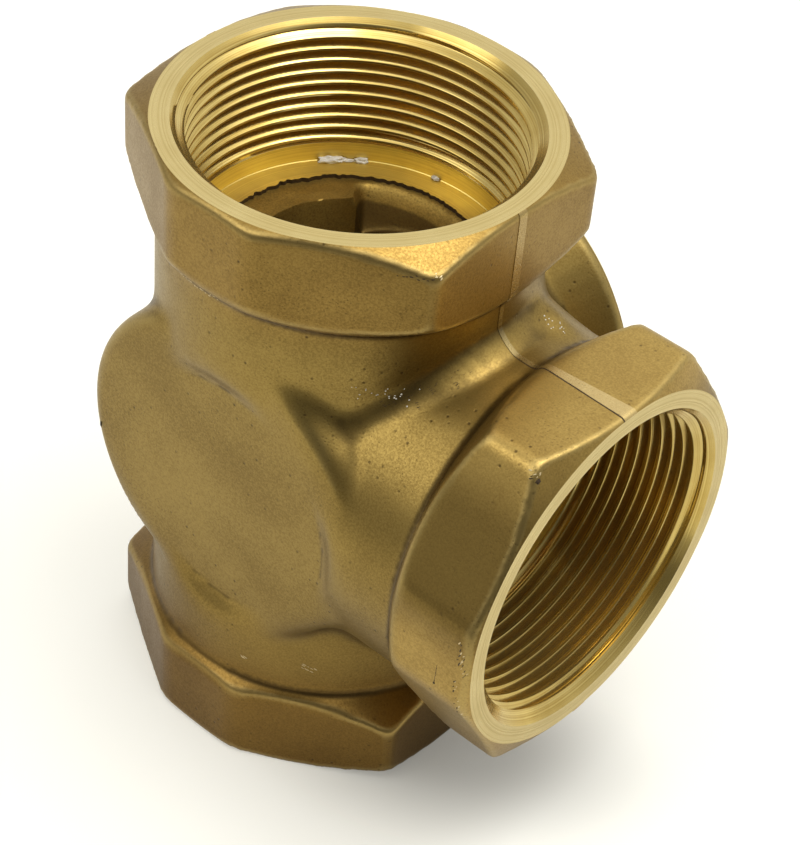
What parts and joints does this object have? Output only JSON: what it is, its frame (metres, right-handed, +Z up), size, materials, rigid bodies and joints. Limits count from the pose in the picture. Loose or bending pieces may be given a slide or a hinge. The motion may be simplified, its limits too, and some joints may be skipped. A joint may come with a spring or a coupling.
{
  "type": "rotary mixing valve",
  "caption": "Forged brass valve with internally threaded ports in hexagonal heads, a flat round back, and a spindle that turns a curved shutter between the ports.",
  "frame": {"origin": "centre of the lower port's face", "axes": "+Z up the straight run to the upper port, +X out of the side port, +Y out along the spindle, away from the flat back face"},
  "size_m": [0.0962, 0.0988, 0.12],
  "materials": {
    "raw_brass": "raw forged, matte, with machined golden rings and threads",
    "machined_brass": "machined",
    "steel": "ground",
    "screw_steel": "zinc plated",
    "plastic": "matte",
    "slip_plastic": "matte",
    "seal_rubber": "matte"
  },
  "bodies": {
    "casing": {"valve_body": "raw_brass", "rear_bush": "plastic", "rear_thrust_washer": "slip_plastic", "front_thrust_washer": "slip_plastic", "spindle_bush": "plastic", "bonnet_o_ring": "seal_rubber", "spindle_o_ring_inner": "seal_rubber", "spindle_o_ring_outer": "seal_rubber", "dust_ring": "seal_rubber", "slip_washer": "slip_plastic", "bonnet": "machined_brass", "stop_pin": "steel", "bonnet_screw_1": "screw_steel", "bonnet_screw_2": "screw_steel", "bonnet_screw_3": "screw_steel", "bonnet_screw_4": "screw_steel"},
    "rotor_set": {"rotor": "machined_brass", "spindle": "machined_brass", "drive_pin": "steel", "retaining_ring": "steel"}
  },
  "joints": [
    {"name": "spindle_turn", "type": "hinge", "parent": "casing", "child": "rotor_set", "pos_m": [0, 0, 0.06], "axis": [0, 1, 0], "range_deg": [-45, 45]}
  ]
}
